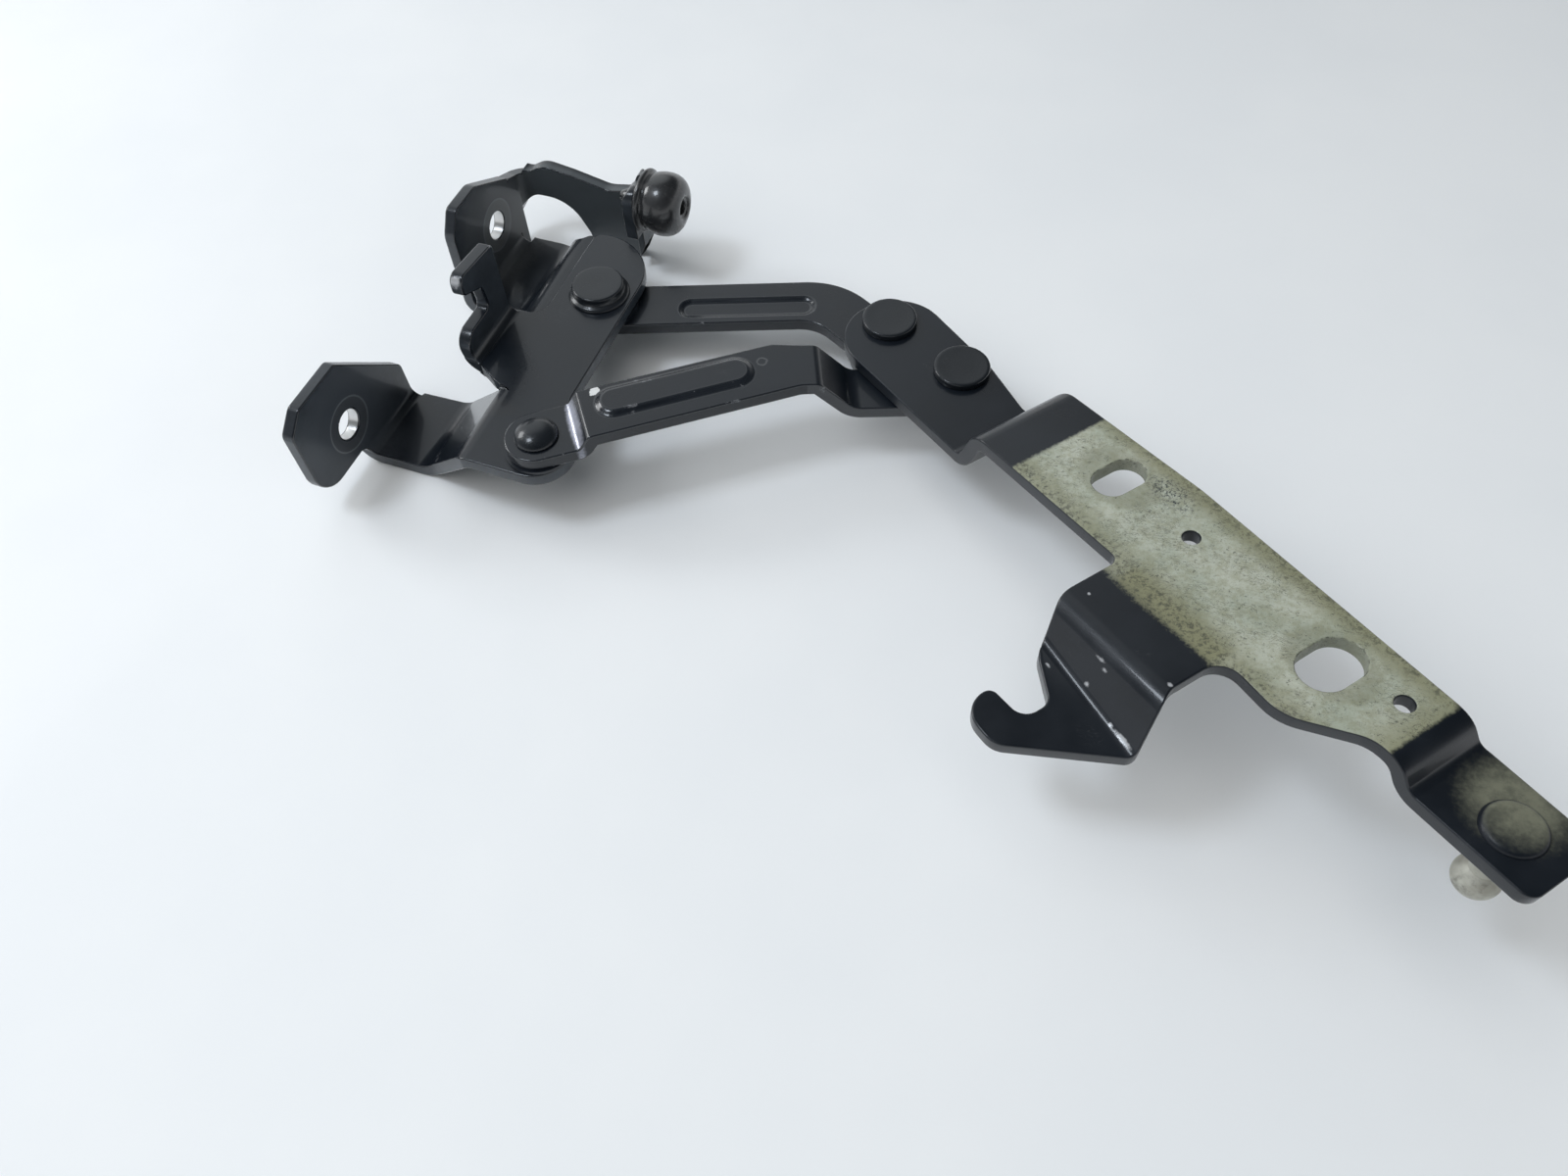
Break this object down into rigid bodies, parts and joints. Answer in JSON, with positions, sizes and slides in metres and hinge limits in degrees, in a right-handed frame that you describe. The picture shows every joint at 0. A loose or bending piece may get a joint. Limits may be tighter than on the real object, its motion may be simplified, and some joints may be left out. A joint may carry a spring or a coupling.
{
  "type": "bonnet hinge",
  "caption": "Pressed-steel four-bar bonnet hinge: body bracket, rear arm with rubber stop, two cranked links and a long hood bracket with a catch hook and a ball stud.",
  "frame": {"origin": "axis of the front body bolt hole, on the outer seating face of its tab", "axes": "+X along the two body bolts, from the tabs towards the links; +Y from the front bolt to the rear bolt; +Z along the four rivets, upwards as the hinge lies in the picture"},
  "size_m": [0.3176, 0.1713, 0.0517],
  "materials": {
    "black_coat": "semi-gloss black dip coat, worn bright on a few edges",
    "rubber": "smooth moulded black rubber",
    "zinc": "dull zinc plate",
    "bronze": "sintered bronze"
  },
  "bodies": {
    "body": {"body_bracket": "black_coat", "rear_arm": "black_coat", "bump_stop": "rubber", "front_body_rivet": "black_coat", "rear_body_rivet": "black_coat", "front_body_washer": "zinc", "rear_body_washer": "zinc"},
    "front_link": {"front_link": "black_coat", "front_body_bush": "bronze", "front_hood_bush": "bronze"},
    "rear_link": {"rear_link": "black_coat", "rear_body_bush": "bronze"},
    "hood": {"hood_bracket": "black_coat", "ball_stud": "zinc", "front_hood_rivet": "black_coat", "rear_hood_rivet": "black_coat", "front_hood_washer": "zinc", "rear_hood_spacer": "zinc", "rear_hood_bush": "bronze", "rear_hood_retainer": "zinc"}
  },
  "joints": [
    {"name": "front_body_pivot", "type": "hinge", "parent": "body", "child": "front_link", "pos_m": [0.0625, 0.007, 0.0061], "axis": [0, 0, 1], "range_deg": [0, 44]},
    {"name": "rear_body_pivot", "type": "hinge", "parent": "body", "child": "rear_link", "pos_m": [0.0518, 0.0689, -0.0039], "axis": [0, 0, 1], "range_deg": [0, 60.6]},
    {"name": "front_hood_pivot", "type": "hinge", "parent": "front_link", "child": "hood", "pos_m": [0.166, 0.0671, 0.0001], "axis": [0, 0, 1], "range_deg": [-98.3, 0]}
  ],
  "couplings": [
    {"joint": "rear_body_pivot", "follows": "front_body_pivot", "ratio": 1.376},
    {"joint": "front_hood_pivot", "follows": "front_body_pivot", "ratio": -2.234}
  ]
}
